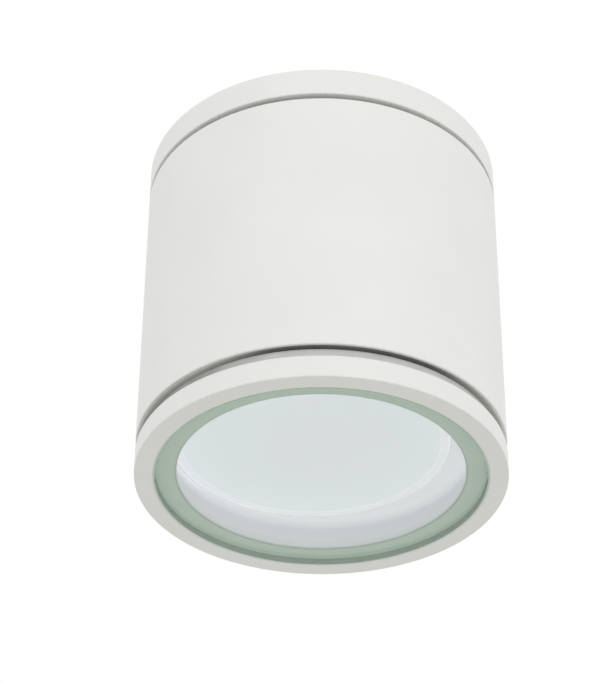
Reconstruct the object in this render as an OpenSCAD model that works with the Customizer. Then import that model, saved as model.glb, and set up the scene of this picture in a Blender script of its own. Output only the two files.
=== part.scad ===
// Surface spotlight for a ceiling: a base, a cylindrical body with a twist-lock
// lamp, and a front ring with a flush glass that screws into the body.
// The origin is the centre of the ceiling face. The light hangs down along -Z.

/* [Outside] */
// Height of the ceiling base
base_h = 8.7; // [8:0.1:14]
// Gap between the base and the body
seam_h = 1.7; // [0.8:0.1:2]
// Height of the body
body_h = 81.9; // [78:0.1:120]
// Height of the groove between the body and the front ring
groove_h = 3.6; // [2.4:0.1:4.4]
// Height of the front ring
ring_h = 6.4; // [5.6:0.1:8]
// Radius of the outer edges
edge_r = 0.3; // [0.2:0.05:0.4]

/* [Body] */
// Gap between the lamp and the neck around it
lamp_room = 4.85; // [4.4:0.05:8]
// Wall of the body tube
body_wall = 2.5; // [2.2:0.1:3]
// Wall of the body at its threaded mouth
mouth_wall = 3.5; // [3.2:0.1:4]
// Length of the threaded mouth
mouth_l = 14; // [12:0.5:18]
// Width of the two lugs that carry the lamp bracket
lug_w = 13; // [10:0.5:13.5]
// Height of the two lugs
lug_h = 12; // [11:0.5:16]
// How far the lugs reach in from the bore
lug_reach = 9.5; // [9:0.1:10.5]

/* [Ceiling base] */
// Thickness of the mounting plate
plate_t = 3; // [2.6:0.1:4]
// Width of the lip under the mounting plate
lip_w = 6; // [5.6:0.1:7]
// Thickness of the lip under the mounting plate
lip_h = 2; // [1.6:0.1:3]
// Wall of the spigot that enters the body
spigot_wall = 2.8; // [2.6:0.1:3.6]
// Depth to which the spigot enters the body
spigot_l = 12; // [11:0.5:16]
// Clearance between the spigot and the body
spigot_gap = 0.3; // [0.25:0.05:0.4]
// Distance between the two fixing slots
slot_pitch = 60; // [48:1:68]
// Length of a fixing slot
slot_l = 12; // [8:0.5:14]
// Width of a fixing slot
slot_w = 5; // [4:0.1:6]
// Diameter of the cable entry in the plate
entry_d = 20; // [16:0.5:22]
// Bore of the grommet for the supply cable
cable_d = 10; // [7:0.5:11]
// Distance of the foam gasket from the rim of the ceiling face
foam_in = 2.2; // [1.6:0.1:2.4]
// Width of the foam gasket
foam_w = 2.6; // [2:0.1:2.8]
// Depth of the recess for the foam gasket and the grommet
recess_h = 1.2; // [0.8:0.1:1.4]
// Thickness of the seal ring on the spigot
seal_d = 1.2; // [1:0.1:1.3]
// Distance of the seal ring below the body's upper end
seal_drop = 2.4; // [2:0.1:2.6]
// Distance of the earth post from the centre
post_y = 28; // [24:0.5:32]

/* [Front ring] */
// Width of the ring's face around the glass
face_w = 5.05; // [4.6:0.05:7]
// Thickness of the glass
glass_t = 4; // [3:0.5:4]
// Depth of the glass below the ring's front face
glass_sink = 0.2; // [0.1:0.05:0.4]
// Thickness of the bed between the glass and its ledge
bed_t = 0.4; // [0.3:0.1:0.6]
// Width of the seal around the glass
rim_w = 0.35; // [0.25:0.05:0.6]
// Width of the ledge that the glass rests on
ledge_w = 6.2; // [3:0.05:8]
// Thickness of the ledge
ledge_t = 2; // [1.6:0.1:3]
// Depth of the groove down to the step
step_in = 1.8; // [1.2:0.1:2.4]
// Wall of the threaded neck
neck_wall = 2.6; // [2.2:0.1:3]
// Length of the neck beyond its thread
neck_over = 1.7; // [1.2:0.1:3]
// Thickness of the gasket under the body
gasket_t = 0.3; // [0.3:0.05:0.8]
// Distance of the gasket's edge inside the body's surface
gasket_in = 0.7; // [0.4:0.05:1]

/* [Thread] */
// Pitch of the thread
pitch = 2.5; // [2.4:0.1:3]
// Number of turns
turns = 3; // [2:0.5:3]
// Depth of the thread
thread_depth = 1; // [0.8:0.1:1.2]
// Clearance between the crests and the roots
thread_gap = 0.3; // [0.25:0.05:0.4]
// Distance of the first turn from the body's lower end
thread_start = 1.8; // [1.6:0.1:2.6]

/* [Lamp] */
// Diameter of the lamp
lamp_d = 75.5; // [74:0.1:76]
// Height of the lamp between its rim and the plane that its pins stand on
lamp_h = 22; // [21:0.5:26]
// Height of the lamp's rim above the front face
lamp_up = 14; // [13:0.1:18]
// How far the lamp sits to the left of the centre
lamp_shift = 2.8; // [1.6:0.1:3]
// Distance between the two pins
pin_pitch = 53; // [52:0.1:54]
// Diameter of a pin's head
head_d = 4.8; // [4.5:0.1:5]
// Diameter of a pin's neck
neck_d = 3.3; // [3:0.1:3.5]
// Height of a pin
pin_h = 6.2; // [5.8:0.1:6.4]
// Diameter of the hub behind the lamp
hub_d = 33; // [30:0.5:34]
// Height of the hub
hub_h = 5.5; // [4:0.5:6]
// Angle through which the lamp turns to lock
twist = 15; // [12:1:18]
// Wall of the lamp's shell
shell_t = 1.6; // [1.4:0.1:2]
// Width of the lamp's rim
rim_l = 2.6; // [2.4:0.1:3.2]
// Thickness of the diffuser
lens_t = 1.6; // [1.2:0.1:2]
// Depth of the diffuser below the rim
lens_sink = 0.2; // [0.1:0.1:0.8]
// Distance of the board above the lamp's rim
board_up = 9.4; // [8.6:0.1:10]
// Length of an emitter
led_l = 3.5; // [3:0.1:4]
// Width of an emitter
led_w = 2.8; // [2.4:0.1:3.2]
// Distance of the outer emitters from the board's edge
led_in = 12; // [9:0.5:14]
// Length of the driver board
driver_l = 38; // [34:1:44]
// Width of the driver board
driver_w = 26; // [24:1:30]

/* [Reflector] */
// Gap between the lamp and the reflector around it
cup_gap = 0.4; // [0.3:0.05:0.7]
// Wall of the reflector
cup_t = 0.8; // [0.7:0.05:1.1]
// Height of the reflector's flange above the lamp's rim
cup_up = 1.6; // [1.4:0.1:3]
// Gap between the reflector's flange and the neck
cup_room = 0.5; // [0.4:0.05:0.8]
// Gap between the reflector's skirt and the ledge under it
skirt_up = 0.6; // [0.5:0.1:2]
// Length of the collar with which the reflector grips the holder
collar_l = 5; // [4:0.5:8]

/* [Lamp holder] */
// How much smaller the holder's radius is than the lamp's
holder_in = 5.75; // [5:0.25:7]
// Height of the holder
holder_h = 15; // [14:0.5:18]
// Distance between the holder's two screws
holder_pitch = 22; // [20:0.5:24]
// Thickness of the lip behind which the pins lock
lip_t = 1.6; // [1.4:0.1:2]
// Depth of the pin channel
channel_h = 9; // [8.6:0.1:9.4]
// Height of the connection tabs above the holder
tab_h = 7; // [6:0.5:8]

/* [Bracket] */
// Thickness of the bracket
strap_t = 1.5; // [1.2:0.1:2]
// Width of the bracket
strap_w = 34; // [32:0.5:36]
// Height of the bracket's two turned-up edges
flange_h = 5; // [3:0.5:6]
// Diameter of the wire hole in the bracket
wire_hole_d = 10; // [8:0.5:14]
// Gap between the turned-up edges and the lugs
flange_gap = 3; // [2:0.1:5]

/* [Wiring] */
// Diameter of a wire
wire_d = 2.2; // [1.8:0.1:2.4]
// Length of the terminal block along the wires
block_l = 18; // [17:0.5:19]
// Gap between the terminal block and the lug beside it
block_gap = 3; // [2.5:0.1:4]
// Distance between two ways of the terminal block
way_pitch = 9; // [8.6:0.1:9.4]
// Height of the terminal block
block_h = 13; // [12.5:0.5:16]
// Height of the wires above the bracket
way_up = 5; // [4.5:0.1:5.5]
// Length of the push-on connectors
push_l = 8; // [7.5:0.5:9]

/* [Screws] */
// Diameter of the screws that hold the body, the bracket and the earth wires
m4_d = 4; // [3.5:0.1:4]
// Diameter of the screws that hold the lamp holder and the terminal block
m3_d = 3; // [2.5:0.1:3]
// Length of the two set screws that hold the body on the spigot
set_l = 4; // [3.6:0.1:4.2]
// Depth of the set screws below the body's surface
set_sink = 0.25; // [0.2:0.05:0.5]
// Distance of the set screws below the body's upper end
set_drop = 8; // [7:0.1:8.6]
// Width of the earth nut across its corners
nut_d = 8.1; // [7.8:0.1:8.2]
// Angle of the set screws to either side of the back
set_angle = 35; // [20:1:60]

/* [Hidden] */

// Clearances: flat pieces that move past each other, screws, and moulded pieces
skim = 0.05;
play = 0.2;
wide = 0.3;
kiss = 0.02;
eps = 0.1;
fine = 96;

// Screw heads, and how far the screws reach into what they hold
head_h = 2.4;
m4_head = 3.6;
m3_head = 2.7;
m4_bite = 8;
m3_bite = 7;

// Radii and heights of the outside
lamp_r = lamp_d / 2;
neck_in = lamp_r + lamp_room;
neck_r = neck_in + neck_wall;
mouth_r = neck_r + thread_depth + thread_gap;
r_out = mouth_r + mouth_wall;
front_z = -(base_h + seam_h + body_h + groove_h + ring_h);
body_lo = ring_h + groove_h;
body_hi = body_lo + body_h;
bore_r = r_out - body_wall;

// Front ring
step_hi = body_lo - gasket_t - 2 * skim;
neck_hi = body_lo + thread_start + pitch * turns + neck_over;
glass_lo = glass_sink;
glass_hi = glass_sink + glass_t;
pocket_h = glass_hi + bed_t;
pocket_r = r_out - face_w;
glass_r = pocket_r - rim_w;
ledge_hi = pocket_h + ledge_t;
clear_r = glass_r - ledge_w;
step_r = r_out - step_in;
ridge_root = 0.9;
ridge_crest = 0.35;
seg = 40;

// Base
spigot_r = bore_r - spigot_gap;
spigot_in = spigot_r - spigot_wall;
spigot_z = -(base_h + seam_h + spigot_l);
seal_z = -(base_h + seam_h + seal_drop);
seal_groove = seal_d - play;
seal_r = spigot_r - seal_groove + seal_d / 2 + skim / 2;
tip_r = r_out - set_sink - set_l;
flute_r = tip_r - skim;
flute_top = -(base_h + seam_h + set_drop - m4_d / 2 - 1);
post_h = 5;
post_r = 4.5;
foam_r = r_out - foam_in;
grommet_rim = 3;
grommet_barb = 2.5;
boot_l = 6;
lip_r = spigot_in - lip_w;
plate_r = spigot_in - play;
plate_screw_r = spigot_in - m3_head - wide;

// Lamp
lamp_back = lamp_up + lamp_h;
cap_t = 3;
cap_lo = lamp_back - cap_t;
cap_floor = lamp_back - 2;
lens_lo = lamp_up + lens_sink;
lens_hi = lens_lo + lens_t;
lens_r = lamp_r - rim_l;
cavity_r = lamp_r - shell_t;
board_t = 1.5;
board_lo = lamp_up + board_up;
board_r = cavity_r - play;
driver_t = 1.6;
driver_hi = cap_floor - 1;
pin_r = pin_pitch / 2;

// Holder, reflector and bracket
holder_r = lamp_r - holder_in;
holder_lo = lamp_back + wide;
holder_hi = holder_lo + holder_h;
cup_in = lamp_r + cup_gap;
cup_out = cup_in + cup_t;
cup_lo = lamp_up + cup_up;
cup_hi = holder_lo + 0.6;
skirt_r = neck_in - cup_room;
strap_lo = holder_hi;
strap_hi = strap_lo + strap_t;
strap_r = bore_r - 0.5;
lug_x = bore_r - lug_reach + 4;
tab_hi = holder_hi + tab_h;
contact_lo = lamp_back + pin_h + wide;
contact_t = 0.6;
tab_w = 4.8;
tab_t = 0.8;
foot_l = 6;
foot_w = 4.4;
foot_back = 1.4;
channel_hi = holder_lo + channel_h;

// Wiring
block_x = bore_r - lug_reach - block_gap - block_l / 2;
block_w = 3 * way_pitch + 1;
tube_l = block_l - 5.4;
tube_r = 2.6;
tube_bore = 1.4;
way_z = strap_hi + way_up;
way_mouth = block_x - tube_l / 2;
clamp_dx = 3.6;
push_lo = holder_hi + 0.6;
push_hi = push_lo + push_l;
barrel_l = 5;
barrel_r = wire_d / 2 + 0.4;
washer_t = 0.6;
lug_t = 0.8;
earth_x = lug_reach - bore_r;
earth_room = 4.5;
earth_y = -max(lug_w / 2 + earth_room, strap_w / 2 - strap_t - earth_room);
lug_z = strap_hi + washer_t + barrel_r;
lug_eye = 4;
lug_neck = 3.2;
lug_l = 12;
lug_end = earth_x + lug_l;

// Moves a piece measured from the front face to its height under the ceiling
module from_front() {
    translate([0, 0, front_z]) children();
}

// Moves a piece on the lamp's axis to where the lamp sits
module on_lamp_axis() {
    translate([-lamp_shift, 0, front_z]) children();
}

// A ring between two radii and two heights
module ring(r_in, r_big, lo, hi) {
    difference() {
        translate([0, 0, lo]) cylinder(h = hi - lo, r = r_big, $fn = fine);
        translate([0, 0, lo - 1]) cylinder(h = hi - lo + 2, r = r_in, $fn = fine);
    }
}

// A round bar between two heights
module bar(r, lo, hi, sides = 32) {
    translate([0, 0, lo]) cylinder(h = hi - lo, r = r, $fn = sides);
}

// A box centred on x and y between two heights
module slab(x, y, lo, hi) {
    translate([-x / 2, -y / 2, lo]) cube([x, y, hi - lo]);
}

// Corner of a turned profile, as points on an arc
function arc(x, y, r, from, to, n = 5) =
    [for (i = [0 : n]) let (a = from + (to - from) * i / n) [x + r * cos(a), y + r * sin(a)]];

// Helical ridge of the thread, with a lead-in at each end
function ridge_points(n, r_in, r_crest, start) =
    let (lead = 6)
    [for (i = [0 : n])
        let (a = 360 * i / seg, z = start + pitch * i / seg,
             s = max(0.27, min(1, i / lead, (n - i) / lead)),
             r = r_in + (r_crest - r_in) * s, c = cos(a), t = sin(a))
        each [[r_in * c, r_in * t, z - ridge_root], [r * c, r * t, z - ridge_crest],
              [r * c, r * t, z + ridge_crest], [r_in * c, r_in * t, z + ridge_root]]];

// Faces of a swept tube with n steps and k sides
function swept_faces(n, k, turned) = concat(
    [for (i = [0 : n - 1]) for (j = [0 : k - 1])
        let (a = k * i + j, b = k * i + (j + 1) % k, c = a + k, d = b + k)
        each turned ? [[a, b, d], [a, d, c]] : [[a, d, b], [a, c, d]]],
    [for (j = [1 : k - 2]) turned ? [0, j + 1, j] : [0, j, j + 1]],
    [for (j = [1 : k - 2]) let (e = k * n) turned ? [e, e + j, e + j + 1] : [e, e + j + 1, e + j]]);

module ridge(laps, r_in, r_crest, start) {
    n = round(laps * seg);
    polyhedron(points = ridge_points(n, r_in, r_crest, start),
        faces = swept_faces(n, 4, r_crest > r_in), convexity = 6);
}

// Smooth route through a list of points
function route(p, n) = concat(
    [for (i = [0 : len(p) - 2]) for (j = [0 : n - 1])
        let (t = j / n, a = i > 0 ? p[i - 1] : 2 * p[0] - p[1], b = p[i], c = p[i + 1],
             d = i < len(p) - 2 ? p[i + 2] : 2 * c - b)
        0.5 * (2 * b + (c - a) * t + (2 * a - 5 * b + 4 * c - d) * t * t
            + (3 * b - a - 3 * c + d) * t * t * t)],
    [p[len(p) - 1]]);
function unit(v) = v / norm(v);

// Wire swept along a route; side is a level vector across the route
module wire(p, side) {
    q = route(p, 3);
    n = len(q) - 1;
    k = 8;
    rings = [for (i = [0 : n])
        let (last = len(p) - 1,
             t = unit(i == 0 ? p[1] - p[0] : i == n ? p[last] - p[last - 1] : q[i + 1] - q[i - 1]),
             u = unit(cross(side, t)), v = cross(t, u))
        for (j = [0 : k - 1])
            q[i] + wire_d / 2 * (cos(360 * j / k) * u + sin(360 * j / k) * v)];
    polyhedron(points = rings, faces = swept_faces(n, k, false), convexity = 6);
}

// Pan head screw pointing down, with its head on the level z
module screw(r, head, l, z) {
    difference() {
        union() {
            bar(r, z - l, z);
            bar(head, z, z + head_h);
        }
        slab(0.8 * head, 0.7, z + head_h - 1.1, z + head_h + 1);
        slab(0.7, 0.8 * head, z + head_h - 1.1, z + head_h + 1);
    }
}

module base_ring() {
    color("white") difference() {
        rotate_extrude($fn = fine) polygon(concat(
            [[spigot_in, -plate_t], [spigot_in, 0]],
            arc(r_out - edge_r, -edge_r, edge_r, 90, 0),
            arc(r_out - edge_r, -base_h + edge_r, edge_r, 0, -90),
            [[spigot_r, -base_h], [spigot_r, spigot_z + 0.6], [spigot_r - 0.6, spigot_z],
             [spigot_in, spigot_z], [spigot_in, -plate_t - lip_h], [lip_r, -plate_t - lip_h],
             [lip_r, -plate_t]]));
        ring(foam_r - foam_w - play, foam_r + play, -recess_h, 1);
        ring(spigot_r - seal_groove, spigot_r + 1, seal_z - seal_d / 2 - skim, seal_z + seal_d / 2 + skim);
        for (s = [-1, 1]) rotate(90 + s * set_angle) translate([flute_r, -m4_d / 2 - 1, spigot_z - 1])
            cube([spigot_wall + 1, m4_d + 2, flute_top - spigot_z + 1]);
        at_plate_screws() bar(m3_d / 2 + play, -plate_t - lip_h - 1, 1);
    }
}

// Runs what follows at each of the three screws that hold the mounting plate in its ring
module at_plate_screws() {
    for (a = [30, 150, 270]) rotate(a) translate([plate_screw_r, 0, 0]) children();
}

module mounting_plate() {
    color("silver") difference() {
        union() {
            bar(plate_r, -plate_t, 0, fine);
            translate([0, post_y, 0]) bar(post_r, -plate_t - post_h, -plate_t + eps);
        }
        bar(entry_d / 2 + grommet_rim + play, -recess_h, 1);
        bar(entry_d / 2, -plate_t - 1, 1);
        for (s = [-1, 1]) translate([s * slot_pitch / 2, 0, 0]) slot(plate_t + 1);
        translate([0, post_y, 0]) bar(m4_d / 2 + skim, -plate_t - post_h - 1, -plate_t - skim);
        at_plate_screws() bar(m3_d / 2 + skim, -plate_t - 1, -0.6);
    }
}

module plate_screws() {
    color("gainsboro") at_plate_screws() translate([0, 0, -plate_t - lip_h]) mirror([0, 0, 1])
        screw(m3_d / 2, m3_head, plate_t + lip_h - 1, 0);
}

// A fixing slot through the plate
module slot(depth) {
    reach = (slot_l - slot_w) / 2;
    for (s = [-1, 1]) translate([s * reach, 0, 0]) bar(slot_w / 2, -depth, 1);
    slab(2 * reach, slot_w, -depth, 1);
}

module ceiling_gasket() {
    color("dimgray") ring(foam_r - foam_w, foam_r, -recess_h, 0);
}

module cable_grommet() {
    r = entry_d / 2;
    b = cable_d / 2;
    barb_z = -plate_t - boot_l / 3;
    color("dimgray") rotate_extrude($fn = fine) polygon([[b, 0], [r + grommet_rim, 0],
        [r + grommet_rim, -recess_h], [r - skim, -recess_h], [r - skim, -plate_t],
        [r + grommet_barb, -plate_t], [r + grommet_barb - 0.7, barb_z], [b + 2.4, barb_z],
        [b + 1.2, -plate_t - boot_l], [b, -plate_t - boot_l]]);
}

module spigot_seal() {
    color("black") rotate_extrude($fn = fine) translate([seal_r, seal_z]) circle(d = seal_d, $fn = 24);
}

module base_earth_screw() {
    z = -plate_t - post_h - washer_t;
    color("goldenrod") translate([0, post_y, 0]) mirror([0, 0, 1])
        screw(m4_d / 2, m4_head, post_h - 1, -z);
}

module base_earth_washer() {
    z = -plate_t - post_h;
    color("gainsboro") translate([0, post_y, 0]) toothed_washer(z - washer_t, z);
}

module toothed_washer(lo, hi) {
    difference() {
        union() {
            ring(m4_d / 2 + play, 3.6, lo, hi);
            for (a = [0 : 45 : 315]) rotate(a) translate([3.4, -0.5, lo]) cube([0.9, 1, hi - lo]);
        }
        bar(m4_d / 2 + play, lo - 1, hi + 1);
    }
}

module body_shell() {
    color("white") from_front() difference() {
        union() {
            rotate_extrude($fn = fine) polygon(concat(
                [[mouth_r, body_lo + 0.5], [mouth_r + 0.5, body_lo]],
                arc(r_out - edge_r, body_lo + edge_r, edge_r, -90, 0),
                arc(r_out - edge_r, body_hi - edge_r, edge_r, 0, 90),
                [[bore_r + 0.5, body_hi], [bore_r, body_hi - 0.5],
                 [bore_r, body_lo + mouth_l + mouth_wall - body_wall], [mouth_r, body_lo + mouth_l]]));
            for (a = [0, 180]) rotate(a) intersection() {
                translate([bore_r - lug_reach, -lug_w / 2, strap_hi]) cube([lug_reach + 2, lug_w, lug_h]);
                bar(r_out - 1, strap_hi, strap_hi + lug_h);
            }
        }
        for (a = [0, 180]) rotate(a) translate([lug_x, 0, 0])
            bar(m4_d / 2 + skim, strap_hi - 1, strap_hi + m4_bite + 1);
        for (s = [-1, 1]) rotate(90 + s * set_angle) translate([0, 0, body_hi - set_drop]) rotate([0, 90, 0])
            bar(m4_d / 2 + skim, bore_r - 2, r_out + 2);
    }
    color("white") from_front()
        ridge(turns - 0.5, mouth_r + 0.3, mouth_r - thread_depth, body_lo + thread_start + pitch / 2);
}

module set_screws() {
    for (s = [-1, 1]) color("gray") from_front() rotate(90 + s * set_angle)
        translate([0, 0, body_hi - set_drop]) rotate([0, 90, 0]) difference() {
            union() {
                bar(m4_d / 2, tip_r + 0.6, tip_r + set_l);
                translate([0, 0, tip_r]) cylinder(h = 0.6, r1 = m4_d / 2 - 0.6, r2 = m4_d / 2, $fn = 32);
            }
            translate([0, 0, tip_r + set_l - 2]) cylinder(h = 3, d = 2.3, $fn = 6);
        }
}

module lamp_bracket() {
    color("silver") from_front() difference() {
        intersection() {
            union() {
                slab(2 * strap_r, strap_w, strap_lo, strap_hi);
                for (s = [-1, 1]) translate([0, s * (strap_w - strap_t) / 2, 0])
                    slab(2 * (bore_r - lug_reach - flange_gap), strap_t, strap_lo, strap_hi + flange_h);
            }
            bar(strap_r, strap_lo - 1, strap_hi + flange_h + 1);
        }
        for (a = [0, 180]) rotate(a) translate([lug_x, 0, 0])
            bar(m4_d / 2 + play, strap_lo - 1, strap_hi + 1);
        translate([-lamp_shift, 0, 0]) {
            bar(wire_hole_d / 2, strap_lo - 1, strap_hi + 1);
            for (s = [-1, 1]) translate([0, s * holder_pitch / 2, 0])
                bar(m3_d / 2 + play, strap_lo - 1, strap_hi + 1);
        }
        translate([earth_x, earth_y, 0]) bar(m4_d / 2 + skim, strap_lo - 1, strap_hi + 1);
        translate([block_x, way_pitch / 2, 0]) bar(m3_d / 2 + skim, strap_lo - 1, strap_hi + 1);
    }
}

module bracket_screws() {
    for (a = [0, 180]) color("gainsboro") from_front() rotate(a) translate([lug_x, 0, 0])
        translate([0, 0, strap_lo]) mirror([0, 0, 1]) screw(m4_d / 2, m4_head, strap_t + m4_bite, 0);
}

// Outline of a curved slot between two angles, with round ends
function slot_outline(r, half, from, to) = concat(
    arc(0, 0, r + half, from, to, 6),
    arc(r * cos(to), r * sin(to), half, to + 15, to + 165, 10),
    arc(0, 0, r - half, to, from, 6),
    arc(r * cos(from), r * sin(from), half, from + 195, from + 345, 10));

// One pin channel of the holder: an entry hole, a narrow slot and a wider run behind it
module pin_channel() {
    head = head_d / 2 + 0.4;
    slit = neck_d / 2 + 0.35;
    lip = holder_lo + lip_t;
    translate([0, 0, holder_lo - 1]) linear_extrude(lip_t + 1 + eps)
        polygon(slot_outline(pin_r, slit, 90 - twist, 90));
    translate([0, 0, lip]) linear_extrude(channel_h - lip_t)
        polygon(slot_outline(pin_r, head, 90 - twist, 90));
    rotate(-twist) translate([0, pin_r, 0]) bar(head + wide, holder_lo - 1, lip + eps);
}

module lamp_holder() {
    r = holder_r;
    color("ivory") on_lamp_axis() difference() {
        rotate_extrude($fn = fine) polygon([[0, holder_lo], [r - 1, holder_lo], [r, holder_lo + 1],
            [r, holder_hi - 1], [r - 1, holder_hi], [0, holder_hi]]);
        bar(hub_d / 2 + 0.5, holder_lo - 1, holder_lo + hub_h + 0.5);
        for (a = [0, 180]) rotate(a) {
            pin_channel();
            translate([0, pin_r, 0]) slab(tab_w + 2 * play, tab_t + 2 * play, channel_hi - 1, holder_hi + 1);
            translate([0, holder_pitch / 2, 0]) bar(m3_d / 2 + skim, holder_hi - m3_bite - 1, holder_hi + 1);
        }
    }
}

module holder_contacts() {
    for (a = [0, 180]) color("goldenrod") on_lamp_axis() rotate(a) translate([0, pin_r, 0]) difference() {
        union() {
            translate([-foot_back, -foot_w / 2, contact_lo]) cube([foot_l, foot_w, contact_t]);
            slab(tab_w, tab_t, contact_lo, tab_hi);
        }
        translate([0, 0, tab_hi - 2.6]) rotate([90, 0, 0]) bar(0.7, -2, 2);
    }
}

module holder_screws() {
    for (s = [-1, 1]) color("gainsboro") on_lamp_axis() translate([0, s * holder_pitch / 2, 0])
        screw(m3_d / 2, m3_head, strap_t + m3_bite, strap_hi);
}

// White cup around the lamp: its collar grips the holder, and its flange and skirt line the neck
module lamp_reflector() {
    color("white") from_front() difference() {
        union() {
            bar(skirt_r, ledge_hi + skirt_up, cup_lo + cup_t, fine);
            translate([-lamp_shift, 0, 0]) {
                bar(cup_out, cup_lo, cup_hi + cup_t, fine);
                bar(holder_r + kiss + cup_t, cup_hi, cup_hi + collar_l, fine);
            }
        }
        bar(skirt_r - cup_t, ledge_hi, cup_lo, fine);
        translate([-lamp_shift, 0, 0]) {
            bar(cup_in, cup_lo - 1, cup_hi, fine);
            bar(holder_r + kiss, cup_hi - 1, cup_hi + collar_l + 1, fine);
        }
    }
}

// Runs what follows at each of the three ways of the terminal block
module ways() {
    for (i = [-1 : 1]) translate([block_x, i * way_pitch, 0]) children();
}

module terminal_block() {
    color("whitesmoke") from_front() difference() {
        translate([block_x, 0, 0]) slab(block_l, block_w, strap_hi, strap_hi + block_h);
        ways() {
            translate([0, 0, way_z]) rotate([0, 90, 0]) {
                bar(tube_r + skim, -tube_l / 2, tube_l / 2);
                bar(wire_d / 2 + play, -block_l, block_l);
            }
            for (s = [-1, 1]) translate([s * clamp_dx, 0, 0]) bar(2, way_z, strap_hi + block_h + 1);
        }
        for (s = [-1, 1]) translate([block_x, s * way_pitch / 2, 0])
            slab(block_l + 2, 1.2, strap_hi + block_h - 4, strap_hi + block_h + 1);
        translate([block_x, way_pitch / 2, 0]) {
            bar(m3_d / 2 + play, strap_hi - 1, strap_hi + block_h);
            bar(m3_head + play, strap_hi + 7, strap_hi + block_h + 1);
        }
    }
}

module terminal_tubes() {
    color("goldenrod") from_front() ways() difference() {
        translate([0, 0, way_z]) rotate([0, 90, 0]) difference() {
            bar(tube_r, -tube_l / 2, tube_l / 2);
            bar(tube_bore, -tube_l, tube_l);
        }
        for (s = [-1, 1]) translate([s * clamp_dx, 0, 0]) bar(1.25, way_z, way_z + 4);
    }
}

module terminal_screws() {
    color("gainsboro") from_front() ways() for (s = [-1, 1]) translate([s * clamp_dx, 0, 0]) difference() {
        union() {
            bar(1.2, way_z, way_z + tube_r + 0.5);
            bar(1.8, way_z + tube_r + 0.4, way_z + tube_r + 2.2);
        }
        slab(0.5, 4, way_z + tube_r + 1.4, way_z + tube_r + 3);
    }
}

module block_screw() {
    color("gainsboro") from_front() translate([block_x, way_pitch / 2, 0])
        screw(m3_d / 2, m3_head, 7 + strap_t - play, strap_hi + 7);
}

module push_connectors() {
    for (s = [-1, 1]) color("goldenrod") on_lamp_axis() translate([0, s * pin_r, 0]) difference() {
        union() {
            slab(tab_w + 1.6, tab_t + 1.6, push_lo, push_hi);
            bar(barrel_r, push_hi - eps, push_hi + barrel_l);
        }
        slab(tab_w + 0.1, tab_t + 0.1, push_lo - 1, tab_hi + 0.1);
    }
}

// Route from a push-on connector over to its way of the terminal block
function supply_route(s) = let (x = -lamp_shift, z = push_hi + barrel_l) [
    [x, s * pin_r, z], [x, s * pin_r, z + 3.5], [x + 4, s * (pin_r - 4), z + 8],
    [x + 9, s * (pin_r + way_pitch) / 2, z + 6], [way_mouth - 10, s * (way_pitch + 1), (z + way_z) / 2 + 3],
    [way_mouth - 7, s * way_pitch, way_z + 1.2], [way_mouth - 3.5, s * way_pitch, way_z],
    [way_mouth, s * way_pitch, way_z]];

module live_wire() {
    color("saddlebrown") from_front() wire(supply_route(1), unit([1, 1, 0]));
}

module neutral_wire() {
    color("royalblue") from_front() wire(supply_route(-1), unit([1, -1, 0]));
}

module earth_wire() {
    p = [[lug_end, earth_y, lug_z], [lug_end + 4, earth_y, lug_z], [lug_end + 11, 0.9 * earth_y, lug_z + 5],
        [-4, 0.4 * earth_y, lug_z + 8], [6, -0.6, way_z + 5], [way_mouth - 7, 0, way_z + 1],
        [way_mouth - 3.5, 0, way_z], [way_mouth, 0, way_z]];
    color("yellowgreen") from_front() wire(p, [0, 1, 0]);
}

module earth_lug() {
    lo = strap_hi + washer_t;
    color("silver") from_front() translate([earth_x, earth_y, 0]) difference() {
        union() {
            bar(lug_eye, lo, lo + lug_t);
            translate([0, -lug_neck / 2, lo]) cube([lug_l - barrel_l + 1, lug_neck, lug_t]);
            translate([lug_l - barrel_l, 0, lo + barrel_r]) rotate([0, 90, 0]) bar(barrel_r, 0, barrel_l);
        }
        bar(m4_d / 2 + play, lo - 1, lo + 3);
    }
}

module earth_washer() {
    color("gainsboro") from_front() translate([earth_x, earth_y, 0])
        toothed_washer(strap_hi, strap_hi + washer_t);
}

module earth_screw() {
    color("goldenrod") from_front() translate([earth_x, earth_y, 0])
        screw(m4_d / 2, m4_head, 8, strap_hi + washer_t + lug_t);
}

module earth_nut() {
    color("gainsboro") from_front() translate([earth_x, earth_y, 0]) difference() {
        translate([0, 0, strap_lo - 3]) cylinder(h = 3, d = nut_d, $fn = 6);
        bar(m4_d / 2 + skim, strap_lo - 4, strap_lo + 1);
    }
}

module front_gasket() {
    color("black") from_front()
        ring(mouth_r + eps, r_out - gasket_in, body_lo - skim - gasket_t, body_lo - skim);
}

module front_ring() {
    e = 0.2;
    color("white") from_front() rotate_extrude($fn = fine) polygon(concat(
        [[clear_r, pocket_h], [pocket_r, pocket_h], [pocket_r, 0.25], [pocket_r + 0.25, 0]],
        arc(r_out - edge_r, edge_r, edge_r, -90, 0),
        arc(r_out - edge_r, ring_h - edge_r, edge_r, 0, 90),
        [[step_r, ring_h]],
        arc(step_r - e, step_hi - e, e, 0, 90, 3),
        [[neck_r, step_hi], [neck_r, neck_hi - 0.6], [neck_r - 0.6, neck_hi],
         [neck_in, neck_hi], [neck_in, ledge_hi], [clear_r + 0.4, ledge_hi], [clear_r, ledge_hi - 0.4]]));
    color("white") from_front()
        ridge(turns, neck_r - 0.3, neck_r + thread_depth, body_lo + thread_start);
}

module front_glass() {
    c = 0.3;
    color([0.8, 0.9, 0.87, 0.35]) from_front() rotate_extrude($fn = fine)
        polygon([[0, glass_lo], [glass_r - c, glass_lo], [glass_r, glass_lo + c], [glass_r, glass_hi - c],
            [glass_r - c, glass_hi], [0, glass_hi]]);
}

module glass_bed() {
    color("lightgray") from_front() ring(clear_r + play, glass_r, glass_hi, pocket_h);
}

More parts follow.
